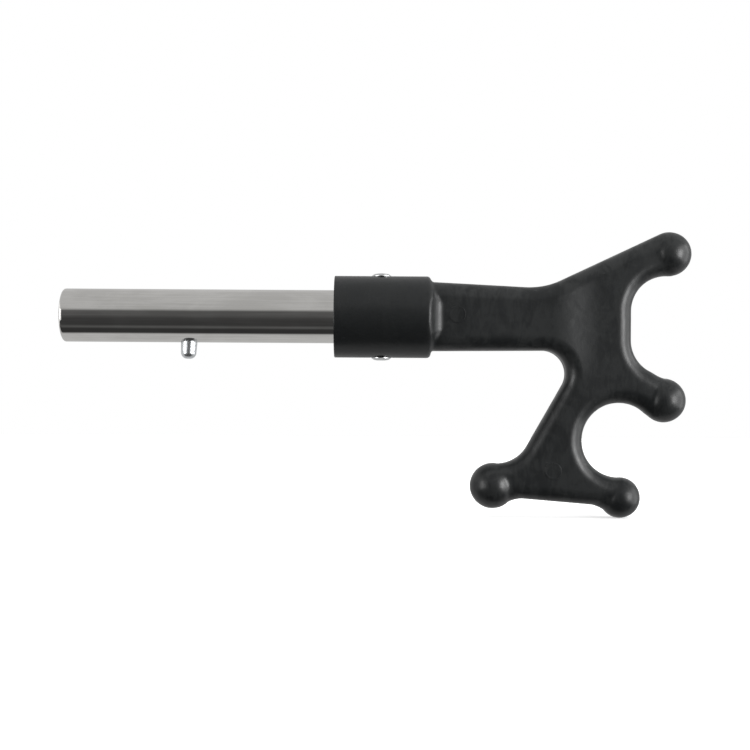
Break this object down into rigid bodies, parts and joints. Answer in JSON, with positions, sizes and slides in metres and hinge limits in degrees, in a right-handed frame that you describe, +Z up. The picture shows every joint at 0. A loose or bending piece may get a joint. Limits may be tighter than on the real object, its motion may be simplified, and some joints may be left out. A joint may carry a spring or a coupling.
{
  "type": "boat hook head",
  "caption": "Black moulded boat hook head with ball-ended arms and an open rope notch, riveted to a polished spigot tube with a snap button.",
  "frame": {"origin": "on the tube's axis, in the plane of the collar's rear face where the pole's end butts", "axes": "+X along the tube towards the hook; +Z up, towards the high fork arm, in the plane of the hook; +Y across the hook's thickness"},
  "size_m": [0.2997, 0.039, 0.1366],
  "materials": {
    "hook_plastic": "satin moulded black with faint flow marks",
    "polished_stainless": "mirror polished stainless tube",
    "plated_steel": "turned, bright zinc plated",
    "spring_steel": "rolled strip",
    "rivet_aluminium": "bright domed blind rivet",
    "mandrel_steel": "snapped steel wire"
  },
  "bodies": {
    "head": {"hook_head": "hook_plastic", "tube": "polished_stainless", "button_spring": "spring_steel", "upper_rivet": "rivet_aluminium", "upper_rivet_mandrel": "mandrel_steel", "lower_rivet": "rivet_aluminium", "lower_rivet_mandrel": "mandrel_steel"},
    "button": {"snap_button": "plated_steel"}
  },
  "joints": [
    {"name": "button_press", "type": "slide", "parent": "head", "child": "button", "axis": [0.0436, 0, 0.999], "range_m": [0, 0.00785], "stiffness_N_per_m": 2500, "springref_m": -0.002, "deforming": ["button_spring"]}
  ]
}
